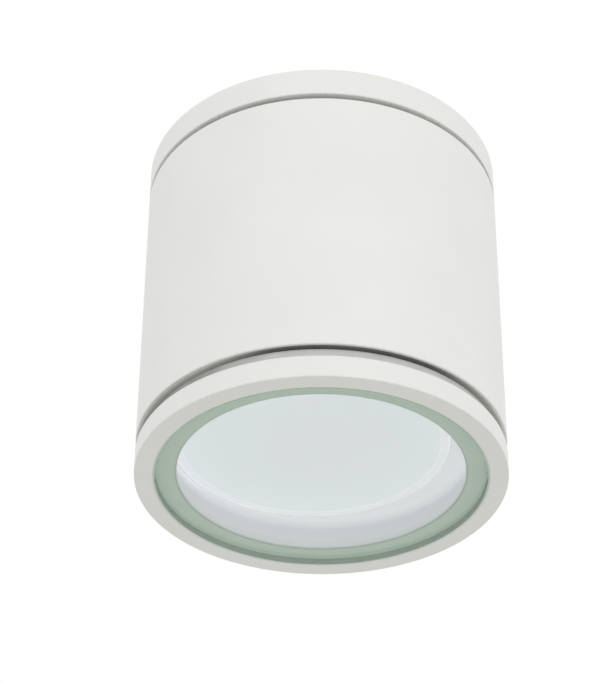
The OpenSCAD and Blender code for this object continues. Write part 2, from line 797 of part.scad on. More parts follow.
module glass_rim_seal() {
    color("darkgray") from_front() ring(glass_r + kiss, pocket_r - kiss, glass_lo + 0.3, pocket_h);
}

module lamp_shell() {
    e = 2.2;
    seat_r = lens_r - 1.6;
    color("white") on_lamp_axis() rotate_extrude($fn = fine) polygon(concat(
        [[seat_r, lens_hi], [lens_r + play, lens_hi], [lens_r + play, lamp_up + 0.2],
         [lens_r + play + 0.2, lamp_up]],
        arc(lamp_r - e, lamp_up + e, e, -90, 0),
        [[lamp_r, cap_lo], [cavity_r, cap_lo], [cavity_r, board_lo], [cavity_r - 2.4, board_lo],
         [cavity_r - 2.4, board_lo - 1.5], [cavity_r, board_lo - 3.9], [cavity_r, lens_hi + 2],
         [seat_r, lens_hi + 1.2]]));
}

module lamp_lens() {
    color("ghostwhite") on_lamp_axis() rotate_extrude($fn = fine)
        polygon([[0, lens_lo], [lens_r - 0.3, lens_lo], [lens_r, lens_lo + 0.3], [lens_r, lens_hi],
            [0, lens_hi]]);
}

module lamp_cap() {
    e = 1.6;
    plug = cavity_r - play;
    color("white") on_lamp_axis() difference() {
        union() {
            rotate_extrude($fn = fine) polygon(concat(
                [[0, cap_floor], [plug - 1.5, cap_floor], [plug - 1.5, cap_lo - 2], [plug, cap_lo - 2],
                 [plug, cap_lo], [lamp_r, cap_lo]],
                arc(lamp_r - e, lamp_back - e, e, 0, 90),
                [[0, lamp_back]]));
            bar(hub_d / 2, lamp_back - eps, lamp_back + hub_h);
            for (x = [-15, 15], y = [-9, 9]) translate([x, y, 0]) bar(1.5, driver_hi, cap_floor + eps);
        }
        bar(hub_d / 2 - 2, cap_floor - 1, lamp_back + hub_h - 1.6);
        for (s = [-1, 1]) translate([0, s * pin_r, 0]) bar(neck_d / 2 + skim, cap_floor - 1, lamp_back + 1);
    }
}

module lamp_pins() {
    for (s = [-1, 1]) color("goldenrod") on_lamp_axis() translate([0, s * pin_r, 0]) {
        bar(neck_d / 2 + 0.8, cap_floor - 1, cap_floor);
        bar(neck_d / 2, cap_floor - eps, lamp_back + pin_h - 2.8);
        bar(head_d / 2, lamp_back + pin_h - 3, lamp_back + pin_h);
    }
}

module lamp_board() {
    color("silver") on_lamp_axis() bar(board_r, board_lo, board_lo + board_t);
}

// A ring of emitters under the board
module emitters(count, r) {
    for (i = [0 : count - 1]) rotate(360 * i / count) translate([r, 0, 0])
        slab(led_l, led_w, board_lo - 0.8, board_lo);
}

module lamp_leds() {
    color("khaki") on_lamp_axis() {
        emitters(12, board_r - led_in);
        emitters(6, (board_r - led_in) / 2);
    }
}

module lamp_driver() {
    lo = driver_hi - driver_t;
    color("seagreen") on_lamp_axis() {
        slab(driver_l, driver_w, lo, driver_hi);
        translate([-driver_l / 4, driver_w / 5, lo - 2.6]) rotate([0, 90, 0]) bar(2.7, 0, driver_l / 3);
        translate([-driver_l / 4, -driver_w / 4, 0]) slab(driver_l / 4, driver_w / 3, lo - 5, lo + eps);
        translate([driver_l / 4, -driver_w / 5, 0]) slab(driver_l / 6, driver_w / 3, lo - 4, lo + eps);
    }
}

base_ring();
mounting_plate();
plate_screws();
ceiling_gasket();
cable_grommet();
spigot_seal();
base_earth_screw();
base_earth_washer();
body_shell();
set_screws();
lamp_bracket();
bracket_screws();
lamp_holder();
holder_contacts();
holder_screws();
lamp_reflector();
terminal_block();
terminal_tubes();
terminal_screws();
block_screw();
push_connectors();
live_wire();
neutral_wire();
earth_wire();
earth_lug();
earth_washer();
earth_screw();
earth_nut();
front_gasket();
front_ring();
front_glass();
glass_bed();
glass_rim_seal();
lamp_shell();
lamp_lens();
lamp_cap();
lamp_pins();
lamp_board();
lamp_leds();
lamp_driver();
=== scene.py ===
import math

import bmesh
import bpy
from mathutils import Matrix, Vector


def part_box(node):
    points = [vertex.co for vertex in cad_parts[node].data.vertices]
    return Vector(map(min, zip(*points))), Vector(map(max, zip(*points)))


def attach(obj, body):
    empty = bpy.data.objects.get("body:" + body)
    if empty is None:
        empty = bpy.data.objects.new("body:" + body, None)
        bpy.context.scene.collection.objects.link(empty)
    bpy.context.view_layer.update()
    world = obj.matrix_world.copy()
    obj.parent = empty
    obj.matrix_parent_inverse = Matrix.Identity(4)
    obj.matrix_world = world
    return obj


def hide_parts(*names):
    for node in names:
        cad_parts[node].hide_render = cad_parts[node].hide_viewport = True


# A white surface spotlight: it hangs from the ceiling face at z = 0 along -Z.
# Sizes in the dictionaries are millimetres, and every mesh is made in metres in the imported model's frame.
mm = 0.001

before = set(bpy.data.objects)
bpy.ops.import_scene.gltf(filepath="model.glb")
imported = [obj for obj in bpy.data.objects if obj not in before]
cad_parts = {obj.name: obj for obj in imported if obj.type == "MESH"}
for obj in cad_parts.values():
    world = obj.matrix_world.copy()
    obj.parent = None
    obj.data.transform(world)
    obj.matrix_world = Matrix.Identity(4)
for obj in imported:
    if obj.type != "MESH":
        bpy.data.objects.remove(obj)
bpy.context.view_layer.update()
print("frame loaded:", len(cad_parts), "nodes")


def roundSize(node):
    # outer radius, lowest and highest level of a round node, in millimetres
    low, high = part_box(node)
    return (high.x - low.x) / 2 / mm, low.z / mm, high.z / mm


outerRadius, bodyLow, bodyHigh = roundSize("body_shell")
baseLow = -8.7                                # underside of the base rim
faceLevel = roundSize("front_ring")[1]        # the front face
lampX = sum(v.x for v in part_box("lamp_shell")) / 2 / mm
lampRadius, lampRim, lampCapLow = roundSize("lamp_shell")
flangeLevel = lampRim + 0.3                   # the reflector's flange lies just behind the lamp's face
holderLow, holderTop = roundSize("lamp_holder")[1:]
strapTop = holderTop + 1.5                    # the bracket is 1.5 thick


# Camera, at the photograph's place: 605 x 683, seen from below
camera = dict(place=(0.0, -515.66, -421.76), pitch=0.61646, yaw=-0.01029, roll=0.00815, lens=119.538)


def addCamera():
    pitch, yaw, roll = camera["pitch"], camera["yaw"], camera["roll"]
    ahead = Vector((math.sin(yaw) * math.cos(pitch), math.cos(yaw) * math.cos(pitch), math.sin(pitch)))
    right = Vector((math.cos(yaw), -math.sin(yaw), 0))
    up = right.cross(ahead)
    sideways = right * math.cos(roll) + up * math.sin(roll)
    upwards = up * math.cos(roll) - right * math.sin(roll)
    data = bpy.data.cameras.new("camera")
    data.lens = camera["lens"]
    data.sensor_width = 36
    data.clip_start = 0.01
    obj = bpy.data.objects.new("camera", data)
    turn = Matrix((sideways, upwards, -ahead)).transposed()
    obj.matrix_world = Matrix.Translation(Vector(camera["place"]) * mm) @ turn.to_4x4()
    bpy.context.scene.collection.objects.link(obj)
    bpy.context.scene.camera = obj


addCamera()


# Node helpers, for the surroundings, the materials and the geometry trees
def startMaterial(name):
    material = bpy.data.materials.new(name)
    material.use_nodes = True
    tree = material.node_tree
    shader = tree.nodes["Principled BSDF"]
    coords = tree.nodes.new("ShaderNodeTexCoord")
    return material, tree, shader, coords.outputs["Object"]


def noise(tree, coords, scale, detail=2.0, roughness=0.5):
    node = tree.nodes.new("ShaderNodeTexNoise")
    node.inputs["Scale"].default_value = scale
    node.inputs["Detail"].default_value = detail
    node.inputs["Roughness"].default_value = roughness
    tree.links.new(coords, node.inputs["Vector"])
    return node.outputs["Fac"]


def spread(tree, value, low, high, fromLow=0.3, fromHigh=0.7):
    node = tree.nodes.new("ShaderNodeMapRange")
    node.inputs["From Min"].default_value = fromLow
    node.inputs["From Max"].default_value = fromHigh
    node.inputs["To Min"].default_value = low
    node.inputs["To Max"].default_value = high
    tree.links.new(value, node.inputs["Value"])
    return node.outputs["Result"]


def blendColours(tree, share, first, second):
    node = tree.nodes.new("ShaderNodeMix")
    node.data_type = "RGBA"
    tree.links.new(share, node.inputs["Factor"])
    for socket, colour in ((node.inputs["A"], first), (node.inputs["B"], second)):
        if isinstance(colour, tuple):
            socket.default_value = (*colour, 1)
        else:
            tree.links.new(colour, socket)
    return node.outputs["Result"]


def combine(tree, operation, first, second=0.0):
    # one step of arithmetic, on numbers or on other nodes' values
    node = tree.nodes.new("ShaderNodeMath")
    node.operation = operation
    for socket, value in zip(node.inputs, (first, second)):
        if isinstance(value, (int, float)):
            socket.default_value = value
        else:
            tree.links.new(value, socket)
    return node.outputs[0]


def splitPlace(tree, coords):
    node = tree.nodes.new("ShaderNodeSeparateXYZ")
    tree.links.new(coords, node.inputs[0])
    return node.outputs


def distanceFromAxis(tree, coords):
    flat = tree.nodes.new("ShaderNodeVectorMath")
    flat.operation = "MULTIPLY"
    flat.inputs[1].default_value = (1, 1, 0)
    tree.links.new(coords, flat.inputs[0])
    away = tree.nodes.new("ShaderNodeVectorMath")
    away.operation = "LENGTH"
    tree.links.new(flat.outputs[0], away.inputs[0])
    return away.outputs["Value"]


def addBump(tree, shader, height, strength, depth):
    node = tree.nodes.new("ShaderNodeBump")
    node.inputs["Strength"].default_value = strength
    node.inputs["Distance"].default_value = depth * mm
    tree.links.new(height, node.inputs["Height"])
    tree.links.new(node.outputs["Normal"], shader.inputs["Normal"])


def meshMask(tree, name):
    node = tree.nodes.new("ShaderNodeAttribute")
    node.attribute_name = name
    return node.outputs["Fac"]


# Studio: white surroundings, one large soft lamp in front and a pale floor far below
studio = dict(surroundings=0.85, floorLevel=-1300, floorSize=9000, floorColour=(0.775, 0.773, 0.742),
              keyPlace=(450, -2200, 150), keySize=1500, keyPower=9.3, aimLevel=-50)


def addStudio():
    world = bpy.data.worlds.new("surroundings")
    bpy.context.scene.world = world
    world.use_nodes = True
    tree = world.node_tree
    tree.nodes.clear()
    path = tree.nodes.new("ShaderNodeLightPath")
    seen = combine(tree, "MAXIMUM", path.outputs["Is Camera Ray"], path.outputs["Is Glossy Ray"])
    seen = combine(tree, "MAXIMUM", seen, path.outputs["Is Transmission Ray"])
    back = tree.nodes.new("ShaderNodeBackground")
    back.inputs["Color"].default_value = (1, 1, 1, 1)
    tree.links.new(spread(tree, seen, studio["surroundings"], 1.0, 0, 1), back.inputs["Strength"])
    out = tree.nodes.new("ShaderNodeOutputWorld")
    tree.links.new(back.outputs[0], out.inputs["Surface"])

    lamp = bpy.data.lights.new("softLamp", "AREA")
    lamp.energy = studio["keyPower"]
    lamp.size = studio["keySize"] * mm
    key = bpy.data.objects.new("softLamp", lamp)
    place = Vector(studio["keyPlace"]) * mm
    key.location = place
    aim = Vector((0, 0, studio["aimLevel"] * mm))
    key.rotation_euler = (aim - place).to_track_quat("-Z", "Y").to_euler()
    bpy.context.scene.collection.objects.link(key)

    half = studio["floorSize"] * mm / 2
    level = studio["floorLevel"] * mm
    mesh = bpy.data.meshes.new("floor")
    corners = [(-half, -half, level), (half, -half, level), (half, half, level), (-half, half, level)]
    mesh.from_pydata(corners, [], [(0, 1, 2, 3)])
    floor = bpy.data.objects.new("floor", mesh)
    bpy.context.scene.collection.objects.link(floor)
    paint = bpy.data.materials.new("paleFloor")
    paint.use_nodes = True
    shader = paint.node_tree.nodes["Principled BSDF"]
    shader.inputs["Base Color"].default_value = (*studio["floorColour"], 1)
    shader.inputs["Roughness"].default_value = 0.9
    mesh.materials.append(paint)
    bpy.context.scene.view_settings.view_transform = "Standard"


addStudio()
print("camera and studio set")


# Materials. Each function makes one finish; noise scales are per metre, on Object coordinates.
def makeCoat(name, colour, worn, shadeColour, gloss, peel=0.25, sideShade=None, lit=None):
    # powder coat: fine orange peel, faint clouds, duller paint along the edges and a grey painted shade in
    # the gaps;
    # a darker colour, with the two places in x where it ends and where it is full, paints that shade darker
    # towards -x;
    # lit is lamp light on an inner wall: its colour, its strength and the radius of that wall
    material, tree, shader, coords = startMaterial(name)
    clouds = noise(tree, coords, 45, 3)
    tint = tuple(c * 0.975 for c in colour)
    base = blendColours(tree, spread(tree, clouds, 0, 1), colour, tint)
    patches = spread(tree, noise(tree, coords, 900, 2), 0.0, 1.0, 0.42, 0.62)
    rub = combine(tree, "MULTIPLY", combine(tree, "MULTIPLY", meshMask(tree, "wear"), patches), 0.35)
    # painted shade in the seams and grooves, where the outline marks it, a little patchy
    paintedShade = combine(tree, "MULTIPLY", meshMask(tree, "recessShade"),
                   spread(tree, noise(tree, coords, 160, 3), 0.75, 1.0))
    unshaded = blendColours(tree, rub, base, worn)
    # painted shade: the grey in the gaps turns darker towards -x, the side that gets less light
    if sideShade:
        sideShadeColour, none, full = sideShade
        share = spread(tree, splitPlace(tree, coords)["X"], 1, 0, full * mm, none * mm)
        shadeColour = blendColours(tree, share, shadeColour, sideShadeColour)
    tree.links.new(blendColours(tree, paintedShade, unshaded, shadeColour), shader.inputs["Base Color"])
    grain = noise(tree, coords, 2600, 2)
    tree.links.new(spread(tree, grain, gloss - 0.05, gloss + 0.05), shader.inputs["Roughness"])
    addBump(tree, shader, grain, peel, 0.02)
    shader.inputs["Specular IOR Level"].default_value = 0.45
    if lit:
        tone, strength, radius = lit
        shader.inputs["Emission Color"].default_value = (*tone, 1)
        away = distanceFromAxis(tree, coords)
        glow = spread(tree, away, strength, 0, (radius + 0.1) * mm, (radius + 0.4) * mm)
        tree.links.new(glow, shader.inputs["Emission Strength"])
    return material


def makeMoulded(name, colour, gloss, texture=1800, depth=0.008, soft=0.0):
    # moulded plastic: fine spark texture and slow colour drift
    material, tree, shader, coords = startMaterial(name)
    drift = noise(tree, coords, 60, 2)
    shade = tuple(c * 0.95 for c in colour)
    base = blendColours(tree, spread(tree, drift, 0, 1), colour, shade)
    rub = combine(tree, "MULTIPLY", meshMask(tree, "wear"), 0.25)
    pale = tuple(min(1.0, c * 1.08 + 0.01) for c in colour)
    tree.links.new(blendColours(tree, rub, base, pale), shader.inputs["Base Color"])
    grain = noise(tree, coords, texture, 3)
    tree.links.new(spread(tree, grain, gloss - 0.06, gloss + 0.06), shader.inputs["Roughness"])
    addBump(tree, shader, grain, 0.3, depth)
    if soft:
        shader.inputs["Subsurface Weight"].default_value = soft
        shader.inputs["Subsurface Radius"].default_value = (0.002, 0.002, 0.0018)
        shader.inputs["Subsurface Scale"].default_value = 1.0
    return material


def makeMetal(name, colour, gloss, streak=(400, 400, 4000), mottle=0.0):
    # rolled or turned metal: streaks along the work, darker where it has oxidised
    material, tree, shader, coords = startMaterial(name)
    shader.inputs["Metallic"].default_value = 1.0
    turn = tree.nodes.new("ShaderNodeMapping")
    turn.inputs["Scale"].default_value = streak
    tree.links.new(coords, turn.inputs["Vector"])
    lines = noise(tree, turn.outputs["Vector"], 1.0, 3)
    spots = noise(tree, coords, 260, 4)
    dull = tuple(c * 0.72 for c in colour)
    shade = spread(tree, spots, 0, 0.6 + mottle, 0.35, 0.75)
    tree.links.new(blendColours(tree, shade, colour, dull), shader.inputs["Base Color"])
    tree.links.new(spread(tree, lines, gloss - 0.08, gloss + 0.12), shader.inputs["Roughness"])
    addBump(tree, shader, lines, 0.25, 0.01)
    return material


def makeGalvanised(name, colour, gloss):
    # sheet steel with the crystal spangle of hot zinc
    material, tree, shader, coords = startMaterial(name)
    shader.inputs["Metallic"].default_value = 1.0
    crystals = tree.nodes.new("ShaderNodeTexVoronoi")
    crystals.inputs["Scale"].default_value = 210
    crystals.inputs["Randomness"].default_value = 1.0
    tree.links.new(coords, crystals.inputs["Vector"])
    grey = tree.nodes.new("ShaderNodeSeparateColor")
    tree.links.new(crystals.outputs["Color"], grey.inputs["Color"])
    dark = tuple(c * 0.84 for c in colour)
    worn = tuple(c * 0.8 for c in colour)
    crystal = blendColours(tree, grey.outputs[0], colour, dark)
    scuffs = spread(tree, noise(tree, coords, 700, 4, 0.65), 0, 0.6, 0.45, 0.75)
    tree.links.new(blendColours(tree, scuffs, crystal, worn), shader.inputs["Base Color"])
    shine = spread(tree, grey.outputs[1], gloss - 0.05, gloss + 0.12, 0, 1)
    tree.links.new(shine, shader.inputs["Roughness"])
    addBump(tree, shader, noise(tree, coords, 900, 3), 0.2, 0.01)
    return material


def makeRubber(name, colour, gloss, cells=0, bloom=0.5, sideLight=None, glow=0.0, rim=None):
    # rubber with a matt skin and a pale bloom; cells gives the closed cells of a foam with painted shade in
    # their pits, glow is lamp light in clear rubber, rim is a darker colour painted along its edges as a
    # painted shade line, and the side colour, with a middle in x and the distances from it where it begins
    # and is full, is painted light on the sides
    material, tree, shader, coords = startMaterial(name)
    mottle = noise(tree, coords, 150, 4)
    pale = tuple(c * (1 + bloom) + 0.012 for c in colour)
    skin = blendColours(tree, spread(tree, mottle, 0, 0.6), colour, pale)
    # painted light: paler away from the middle in x, on the sides where more light falls
    if sideLight:
        sideLightColour, middle, begins, full = sideLight
        aside = combine(tree, "SUBTRACT", splitPlace(tree, coords)["X"], middle * mm)
        sideLitShare = spread(tree, combine(tree, "ABSOLUTE", aside), 0, 1, begins * mm, full * mm)
        skin = blendColours(tree, sideLitShare, skin, sideLightColour)
    # painted shade: a darker line along the edges
    if rim:
        skin = blendColours(tree, meshMask(tree, "wear"), skin, rim)
    if cells:
        pores = tree.nodes.new("ShaderNodeTexVoronoi")
        pores.inputs["Scale"].default_value = cells
        tree.links.new(coords, pores.inputs["Vector"])
        height = pores.outputs["Distance"]
        # painted shade: the middles of the cells are darker, as pits in shade
        pitShade = tuple(c * 0.3 for c in colour)
        skin = blendColours(tree, spread(tree, height, 0.75, 0, 0.1, 0.5), skin, pitShade)
    else:
        height = noise(tree, coords, 1500, 3)
    tree.links.new(skin, shader.inputs["Base Color"])
    tree.links.new(spread(tree, height, gloss - 0.05, gloss + 0.08), shader.inputs["Roughness"])
    addBump(tree, shader, height, 0.4, 0.06 if cells else 0.01)
    shader.inputs["Emission Color"].default_value = (*colour, 1)
    shader.inputs["Emission Strength"].default_value = glow
    return material


def makeGlass(name, tint):
    # toughened glass, faintly green; shadow rays pass so that the lamp behind it stays lit
    material, tree, shader, coords = startMaterial(name)
    drift = noise(tree, coords, 20, 1)
    deeper = tuple(c * 0.985 for c in tint)
    tree.links.new(blendColours(tree, drift, tint, deeper), shader.inputs["Base Color"])
    shader.inputs["Roughness"].default_value = 0.0
    shader.inputs["IOR"].default_value = 1.5
    shader.inputs["Transmission Weight"].default_value = 1.0
    waves = noise(tree, coords, 35, 1)
    addBump(tree, shader, waves, 0.02, 0.02)
    path = tree.nodes.new("ShaderNodeLightPath")
    clear = tree.nodes.new("ShaderNodeBsdfTransparent")
    clear.inputs["Color"].default_value = (*tint, 1)
    mix = tree.nodes.new("ShaderNodeMixShader")
    out = tree.nodes["Material Output"]
    tree.links.new(path.outputs["Is Shadow Ray"], mix.inputs[0])
    tree.links.new(shader.outputs[0], mix.inputs[1])
    tree.links.new(clear.outputs[0], mix.inputs[2])
    tree.links.new(mix.outputs[0], out.inputs["Surface"])
    return material


def makeDiffuser(name, colour, glow, spill=None, dimAbove=None):
    # frosted disc: a soft body and a faint even glow, which ends above the level dimAbove; spill is the light
    # of the lamp on the piece next to it: its strength, the level of the face that is lit most and the depth
    # over which it fades below that face
    material, tree, shader, coords = startMaterial(name)
    frost = noise(tree, coords, 3200, 2)
    drift = noise(tree, coords, 40, 2)
    shade = tuple(c * 0.97 for c in colour)
    tree.links.new(blendColours(tree, spread(tree, drift, 0, 1), colour, shade), shader.inputs["Base Color"])
    tree.links.new(spread(tree, frost, 0.5, 0.62), shader.inputs["Roughness"])
    addBump(tree, shader, frost, 0.25, 0.006)
    shader.inputs["Emission Color"].default_value = (*colour, 1)
    if spill:
        added, face, fade = spill
        height = splitPlace(tree, coords)["Z"]
        strength = spread(tree, height, glow, glow + added, (face - fade) * mm, (face - 0.1) * mm)
        # a little of it is lost in the gap behind that face
        behind = spread(tree, height, 1, 0.8, (face + 0.02) * mm, (face + 0.06) * mm)
        tree.links.new(combine(tree, "MULTIPLY", strength, behind), shader.inputs["Emission Strength"])
    elif dimAbove is not None:
        height = splitPlace(tree, coords)["Z"]
        strength = spread(tree, height, glow, 0, dimAbove * mm, (dimAbove + 0.3) * mm)
        tree.links.new(strength, shader.inputs["Emission Strength"])
    else:
        shader.inputs["Emission Strength"].default_value = glow
    return material


def makeInsulation(name, colour, stripe=None):
    # wire insulation, with a second colour along the wire where it has one
    material, tree, shader, coords = startMaterial(name)
    drift = noise(tree, coords, 300, 2)
    shade = tuple(c * 0.85 for c in colour)
    base = blendColours(tree, spread(tree, drift, 0, 1), colour, shade)
    if stripe:
        half = spread(tree, meshMask(tree, "side"), 0, 1, 0.28, 0.36)
        base = blendColours(tree, half, base, stripe)
    tree.links.new(base, shader.inputs["Base Color"])
    tree.links.new(spread(tree, noise(tree, coords, 1500, 2), 0.34, 0.46), shader.inputs["Roughness"])
    addBump(tree, shader, noise(tree, coords, 700, 2), 0.15, 0.01)
    return material


# the third colour is the grey painted shade in seams and grooves
coat = dict(colour=(0.845, 0.845, 0.83), worn=(0.70, 0.70, 0.68), shadeColour=(0.56, 0.555, 0.535), gloss=0.42)
whiteCoat = makeCoat("whitePowderCoat", **coat)
lampWhite = makeMoulded("lampWhitePlastic", (0.88, 0.89, 0.885), 0.36)
diffuser = makeDiffuser("frostedDiffuser", (0.855, 0.90, 0.925), 0.40)
opalRim = makeDiffuser("opalRim", (0.89, 0.91, 0.94), 0.41, dimAbove=lampRim + 0.5)
reflectorWhite = makeDiffuser("reflectorWhite", (0.87, 0.875, 0.905), 0.095, spill=(0.257, flangeLevel, 2.2))
clearGlass = makeGlass("clearToughenedGlass", (0.985, 0.998, 0.991))
blackRubber = makeRubber("blackRubber", (0.022, 0.022, 0.023), 0.6)
# the gasket is painted paler towards both sides in x, as painted light
sideLitRubber = makeRubber("sideLitRubber", (0.085, 0.085, 0.084), 0.7, sideLight=((0.54, 0.54, 0.525), 8, 20, 40))
greyFoam = makeRubber("greyCellFoam", (0.055, 0.056, 0.058), 0.85, 1400)
rimSilicone = makeRubber("rimSilicone", (0.60, 0.72, 0.62), 0.5, bloom=0.05)
# its edges get a darker line of painted shade
bedSilicone = makeRubber("bedSilicone", (0.77, 0.95, 0.82), 0.5, bloom=0.02, glow=0.06,
                         rim=(0.50, 0.60, 0.53))
zincSheet = makeGalvanised("zincSheet", (0.66, 0.67, 0.68), 0.36)
screwSteel = makeMetal("screwSteel", (0.66, 0.66, 0.65), 0.28)
brass = makeMetal("yellowBrass", (0.80, 0.61, 0.28), 0.27)
ivoryPlastic = makeMoulded("ivoryPlastic", (0.78, 0.75, 0.66), 0.45)
milkyPlastic = makeMoulded("milkyPlastic", (0.80, 0.80, 0.77), 0.3, soft=0.3)
brownWire = makeInsulation("brownInsulation", (0.13, 0.055, 0.025))
blueWire = makeInsulation("blueInsulation", (0.02, 0.10, 0.42))
stripedWire = makeInsulation("stripedInsulation", (0.06, 0.30, 0.05), (0.85, 0.70, 0.03))
boardWhite = makeMoulded("whiteSolderMask", (0.82, 0.82, 0.80), 0.3)
phosphor = makeMoulded("yellowPhosphor", (0.84, 0.68, 0.20), 0.35, soft=0.2)
boardGreen = makeMoulded("greenBoard", (0.03, 0.16, 0.07), 0.35)
print("materials made")


# Geometry node trees
sharpAngle = math.radians(32)                 # edges that turn more than this stay sharp


def startTree(name, inputs):
    tree = bpy.data.node_groups.new(name, "GeometryNodeTree")
    tree.is_modifier = True
    tree.interface.new_socket("Geometry", in_out="INPUT", socket_type="NodeSocketGeometry")
    for label, kind in inputs:
        tree.interface.new_socket(label, in_out="INPUT", socket_type="NodeSocket" + kind)
    tree.interface.new_socket("Geometry", in_out="OUTPUT", socket_type="NodeSocketGeometry")
    return tree, tree.nodes.new("NodeGroupInput"), tree.nodes.new("NodeGroupOutput")


def endTree(tree, entry, out, geometry):
    # every tree ends the same way: smooth faces, sharp edges past an angle, real geometry, its material
    smooth = tree.nodes.new("GeometryNodeSetShadeSmooth")
    tree.links.new(geometry, smooth.inputs["Geometry"])
    angle = tree.nodes.new("GeometryNodeInputMeshEdgeAngle")
    sharp = tree.nodes.new("FunctionNodeCompare")
    sharp.operation = "LESS_THAN"
    sharp.inputs["B"].default_value = sharpAngle
    tree.links.new(angle.outputs["Unsigned Angle"], sharp.inputs["A"])
    edges = tree.nodes.new("GeometryNodeSetShadeSmooth")
    edges.domain = "EDGE"
    tree.links.new(smooth.outputs["Geometry"], edges.inputs["Geometry"])
    tree.links.new(sharp.outputs["Result"], edges.inputs["Shade Smooth"])
    real = tree.nodes.new("GeometryNodeRealizeInstances")
    tree.links.new(edges.outputs["Geometry"], real.inputs["Geometry"])
    finish = tree.nodes.new("GeometryNodeSetMaterial")
    tree.links.new(real.outputs["Geometry"], finish.inputs["Geometry"])
    tree.links.new(entry.outputs["Material"], finish.inputs["Material"])
    tree.links.new(finish.outputs["Geometry"], out.inputs["Geometry"])
    return tree


def routeCurve(tree, entry):
    # the edges that come in, as a curve
    node = tree.nodes.new("GeometryNodeMeshToCurve")
    tree.links.new(entry.outputs["Geometry"], node.inputs["Mesh"])
    return node.outputs["Curve"]


def uprightCurve(tree, curve):
    # keeps a section upright all along a curve round the Z axis
    node = tree.nodes.new("GeometryNodeSetCurveNormal")
    node.mode = "Z_UP"
    tree.links.new(curve, node.inputs["Curve"])
    return node.outputs["Curve"]


def circleCurve(tree, steps, radius):
    node = tree.nodes.new("GeometryNodeCurvePrimitiveCircle")
    tree.links.new(steps, node.inputs["Resolution"])
    tree.links.new(radius, node.inputs["Radius"])
    return node.outputs["Curve"]


def sweepSection(tree, curve, section, capped=True):
    node = tree.nodes.new("GeometryNodeCurveToMesh")
    node.inputs["Fill Caps"].default_value = capped
    tree.links.new(curve, node.inputs["Curve"])
    tree.links.new(section, node.inputs["Profile Curve"])
    return node.outputs["Mesh"]


def buildTurningTree():
    # turns the outline that comes in round the Z axis
    inputs = [("Steps", "Int"), ("Axis Radius", "Float"), ("Material", "Material")]
    tree, entry, out = startTree("turnedPiece", inputs)
    outline = routeCurve(tree, entry)
    circle = circleCurve(tree, entry.outputs["Steps"], entry.outputs["Axis Radius"])
    turned = sweepSection(tree, uprightCurve(tree, circle), outline, False)
    weld = tree.nodes.new("GeometryNodeMergeByDistance")
    weld.inputs["Distance"].default_value = 0.002 * mm
    tree.links.new(turned, weld.inputs["Geometry"])
    return endTree(tree, entry, out, weld.outputs["Geometry"])


def buildThreadTree():
    # winds the ridge section that comes in along a rising spiral, with tapered ends
    inputs = [("Turns", "Float"), ("Pitch", "Float"), ("Radius", "Float"), ("Start", "Float"),
              ("Steps", "Int"), ("Lead", "Float"), ("Material", "Material")]
    tree, entry, out = startTree("threadRidge", inputs)
    section = routeCurve(tree, entry)
    height = combine(tree, "MULTIPLY", entry.outputs["Turns"], entry.outputs["Pitch"])
    spiral = tree.nodes.new("GeometryNodeCurveSpiral")
    tree.links.new(entry.outputs["Steps"], spiral.inputs["Resolution"])
    tree.links.new(entry.outputs["Turns"], spiral.inputs["Rotations"])
    tree.links.new(entry.outputs["Radius"], spiral.inputs["Start Radius"])
    tree.links.new(entry.outputs["Radius"], spiral.inputs["End Radius"])
    tree.links.new(height, spiral.inputs["Height"])
    along = tree.nodes.new("GeometryNodeSplineParameter").outputs["Factor"]
    nearest = combine(tree, "MINIMUM", along, combine(tree, "SUBTRACT", 1, along))
    ramp = tree.nodes.new("ShaderNodeMapRange")
    ramp.interpolation_type = "SMOOTHSTEP"
    ramp.inputs["From Min"].default_value = 0
    ramp.inputs["To Min"].default_value = 0.2
    ramp.inputs["To Max"].default_value = 1
    tree.links.new(nearest, ramp.inputs["Value"])
    tree.links.new(entry.outputs["Lead"], ramp.inputs["From Max"])
    size = tree.nodes.new("GeometryNodeSetCurveRadius")
    tree.links.new(uprightCurve(tree, spiral.outputs["Curve"]), size.inputs["Curve"])
    tree.links.new(ramp.outputs["Result"], size.inputs["Radius"])
    ridge = sweepSection(tree, size.outputs["Curve"], section)
    place = tree.nodes.new("ShaderNodeCombineXYZ")
    tree.links.new(entry.outputs["Start"], place.inputs["Z"])
    lift = tree.nodes.new("GeometryNodeTransform")
    tree.links.new(ridge, lift.inputs["Geometry"])
    tree.links.new(place.outputs[0], lift.inputs["Translation"])
    return endTree(tree, entry, out, lift.outputs["Geometry"])


def buildWireTree():
    # a round wire along the route that comes in; "side" tells the stripe which way round it lies
    inputs = [("Radius", "Float"), ("Sides", "Int"), ("Material", "Material")]
    tree, entry, out = startTree("insulatedWire", inputs)
    route = routeCurve(tree, entry)
    circle = circleCurve(tree, entry.outputs["Sides"], entry.outputs["Radius"])
    where = tree.nodes.new("GeometryNodeInputPosition").outputs[0]
    share = combine(tree, "DIVIDE", splitPlace(tree, where)["X"], entry.outputs["Radius"])
    mark = tree.nodes.new("GeometryNodeStoreNamedAttribute")
    mark.inputs["Name"].default_value = "side"
    tree.links.new(circle, mark.inputs["Geometry"])
    tree.links.new(share, mark.inputs["Value"])
    return endTree(tree, entry, out, sweepSection(tree, route, mark.outputs["Geometry"]))


turningTree = buildTurningTree()
threadTree = buildThreadTree()
wireTree = buildWireTree()


# Mesh helpers
def meshObject(name, mesh):
    obj = bpy.data.objects.new(name, mesh)
    bpy.context.scene.collection.objects.link(obj)
    return obj


def bakeModifiers(piece):
    graph = bpy.context.evaluated_depsgraph_get()
    final = piece.evaluated_get(graph)
    mesh = bpy.data.meshes.new_from_object(final, preserve_all_data_layers=True, depsgraph=graph)
    old = piece.data
    piece.modifiers.clear()
    piece.data = mesh
    mesh.name = piece.name
    bpy.data.meshes.remove(old)


